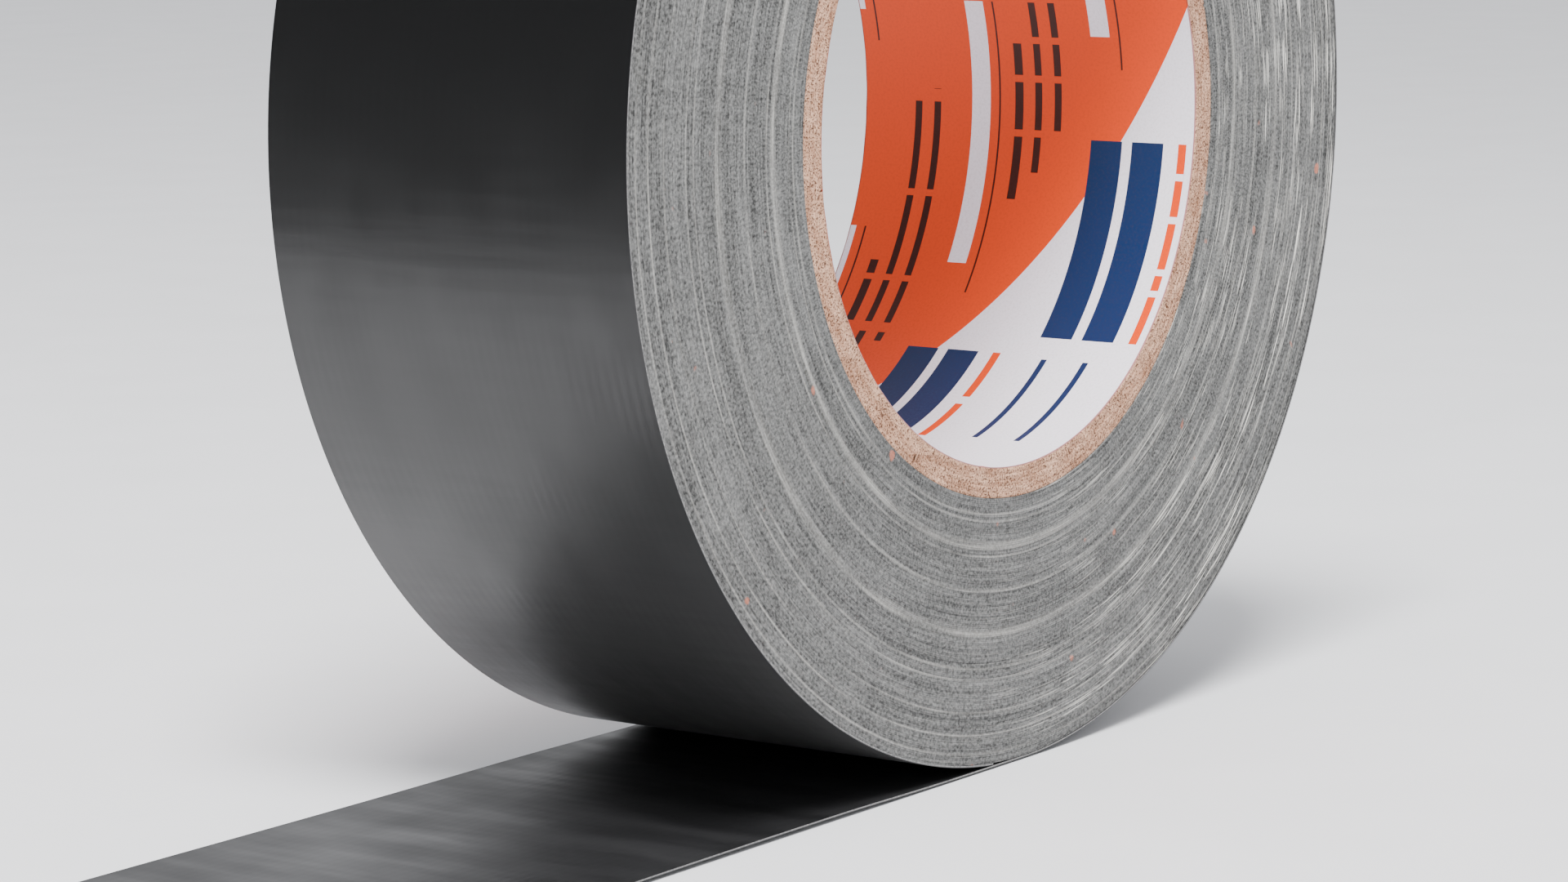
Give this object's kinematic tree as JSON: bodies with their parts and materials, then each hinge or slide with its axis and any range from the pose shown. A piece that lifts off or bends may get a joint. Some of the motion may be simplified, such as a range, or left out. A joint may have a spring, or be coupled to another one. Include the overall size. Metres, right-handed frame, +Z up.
{
  "type": "duct tape roll",
  "caption": "Roll of black cloth-backed adhesive tape on a board core, standing on edge with a length of tape laid out flat from under it.",
  "frame": {"origin": "in the flat underside of the laid tape, on the floor under the roll's axis, midway across the tape", "axes": "+Z up; the roll's axis lies along Y; the laid tape runs from under the roll along -X"},
  "size_m": [0.2525, 0.048, 0.145],
  "materials": {
    "film": "satin black polyethylene film with a faint cloth weave showing through",
    "cloth": "thin open-weave cloth",
    "adhesive": "tacky rubber adhesive, near-black over the film behind it",
    "turn_edges": "slit edges of the wound turns, matt grey with fine concentric lines",
    "core_board": "kraft-brown spiral-wound core board with fibrous cut edges",
    "liner_print": "smooth white paper printed with plain orange and navy shapes and no lettering"
  },
  "bodies": {
    "laid_tape": {"laid_film": "film", "laid_cloth": "cloth", "laid_adhesive": "adhesive"},
    "payoff": {"wrap_film": "film", "wrap_cloth": "cloth", "wrap_adhesive": "adhesive"},
    "roll": {"core_liner": "liner_print", "core_ply_1": "core_board", "core_ply_2": "core_board", "core_ply_3": "core_board", "core_ply_4": "core_board", "core_ply_5": "core_board", "wound_turns": "turn_edges"},
    "free_end": {"free_end_film": "film", "free_end_cloth": "cloth", "free_end_adhesive": "adhesive"}
  },
  "joints": [
    {"name": "unroll", "type": "slide", "parent": "laid_tape", "child": "payoff", "axis": [1, 0, 0], "range_m": [0, 0.4555], "deforming": ["laid_film", "laid_cloth", "laid_adhesive"]},
    {"name": "roll_spin", "type": "hinge", "parent": "payoff", "child": "roll", "pos_m": [0, 0, 0.0725], "axis": [0, 1, 0], "range_deg": [0, 360]},
    {"name": "free_end_lift", "type": "hinge", "parent": "laid_tape", "child": "free_end", "pos_m": [-0.14, 0, 0.00022], "axis": [0, 1, 0], "range_deg": [0, 170]}
  ],
  "couplings": [
    {"joint": "roll_spin", "follows": "unroll", "rad_per_m": 13.793}
  ]
}
